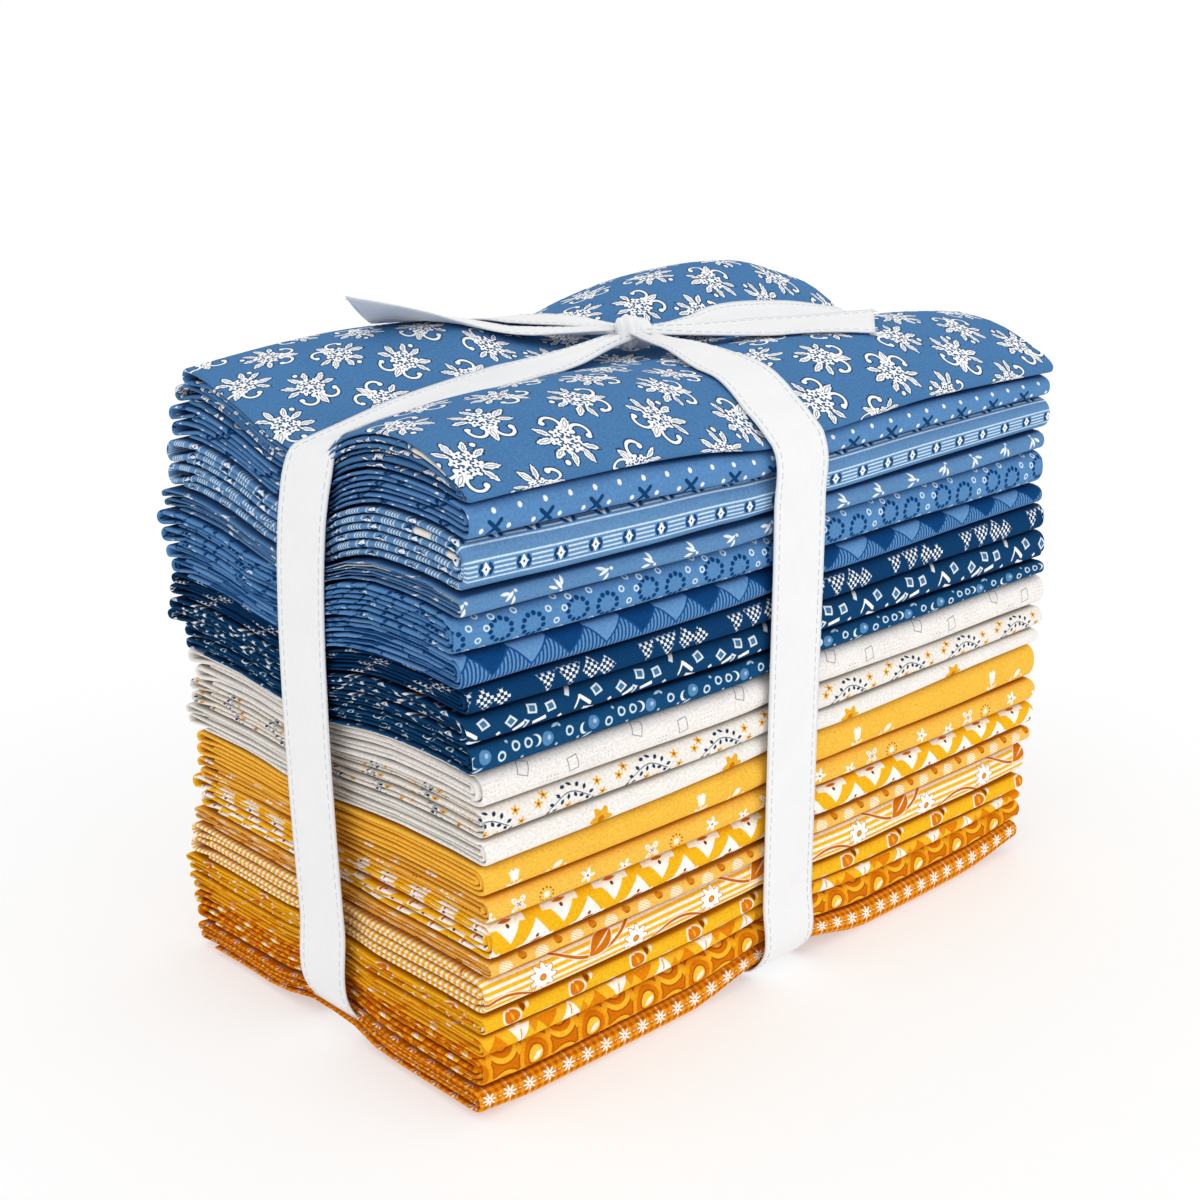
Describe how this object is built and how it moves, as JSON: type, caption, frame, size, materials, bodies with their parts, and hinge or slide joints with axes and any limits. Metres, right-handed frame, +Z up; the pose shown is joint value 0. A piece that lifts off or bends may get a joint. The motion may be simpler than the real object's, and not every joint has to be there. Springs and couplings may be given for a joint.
{
  "type": "one-yard fabric bundle",
  "caption": "Stack of folded yards of printed quilting cotton, blue over cream over orange, tied both ways with a white ribbon.",
  "frame": {"origin": "bottom centre of the whole bundle's box, on the surface that it rests on", "axes": "+Z up; +X along the stack's long side; the folded fronts of the yards face -Y"},
  "size_m": [0.2938, 0.172, 0.2339],
  "materials": {
    "yard_01_sprig": "mid blue quilting cotton printed with white sprigs edged in navy, matt plain weave",
    "yard_02_cross": "blue quilting cotton with navy crosses and white dots, matt plain weave",
    "yard_03_stave": "blue quilting cotton with bands of fine white stripes and small diamonds, matt plain weave",
    "yard_04_chip": "greyish blue quilting cotton with scattered small white marks, matt plain weave",
    "yard_05_dot_ring": "blue quilting cotton with rings of navy dots and small white rings, matt plain weave",
    "yard_06_plaid": "light and dark blue gingham with fine bars, matt plain weave",
    "yard_07_check": "navy quilting cotton with white check diamonds, matt plain weave",
    "yard_08_tick": "navy quilting cotton with white ticks, squares and bars, matt plain weave",
    "yard_09_bubble": "navy quilting cotton with light blue discs and rings, matt plain weave",
    "yard_10_square": "cream quilting cotton with faint grey squares and dot grids, matt plain weave",
    "yard_11_leaf": "cream quilting cotton with navy leaf sprigs and yellow flowers, matt plain weave",
    "yard_12_bloom": "cream quilting cotton with orange flowers, matt plain weave",
    "yard_13_tulip": "light orange quilting cotton with white tulips, matt plain weave",
    "yard_14_clover": "light orange quilting cotton with white stars and clovers, matt plain weave",
    "yard_15_triangle": "yellow quilting cotton with white triangles and squares, matt plain weave",
    "yard_16_acorn": "light orange quilting cotton with pale discs and brown acorns, matt plain weave",
    "yard_17_vine": "yellow and white striped quilting cotton with white flowers and brown vines, matt plain weave",
    "yard_18_bud": "yellow quilting cotton with brown buds outlined in white, matt plain weave",
    "yard_19_bell": "yellow quilting cotton with white bell flowers, matt plain weave",
    "yard_20_scallop": "orange-brown quilting cotton with yellow scallops, matt plain weave",
    "yard_21_gingham": "orange-brown gingham with white eight-point stars, matt plain weave",
    "ribbon": "white grosgrain ribbon, soft sheen, a dashed stitch line inside each edge"
  },
  "bodies": {
    "root": {"yard_01_sprig": "yard_01_sprig", "yard_02_cross": "yard_02_cross", "yard_03_stave": "yard_03_stave", "yard_04_chip": "yard_04_chip", "yard_05_dot_ring": "yard_05_dot_ring", "yard_06_plaid": "yard_06_plaid", "yard_07_check": "yard_07_check", "yard_08_tick": "yard_08_tick", "yard_09_bubble": "yard_09_bubble", "yard_10_square": "yard_10_square", "yard_11_leaf": "yard_11_leaf", "yard_12_bloom": "yard_12_bloom", "yard_13_tulip": "yard_13_tulip", "yard_14_clover": "yard_14_clover", "yard_15_triangle": "yard_15_triangle", "yard_16_acorn": "yard_16_acorn", "yard_17_vine": "yard_17_vine", "yard_18_bud": "yard_18_bud", "yard_19_bell": "yard_19_bell", "yard_20_scallop": "yard_20_scallop", "yard_21_gingham": "yard_21_gingham", "ribbon_lengthways": "ribbon", "ribbon_crossways": "ribbon", "ribbon_knot": "ribbon", "ribbon_tail_left": "ribbon", "ribbon_tail_right": "ribbon"}
  },
  "joints": []
}
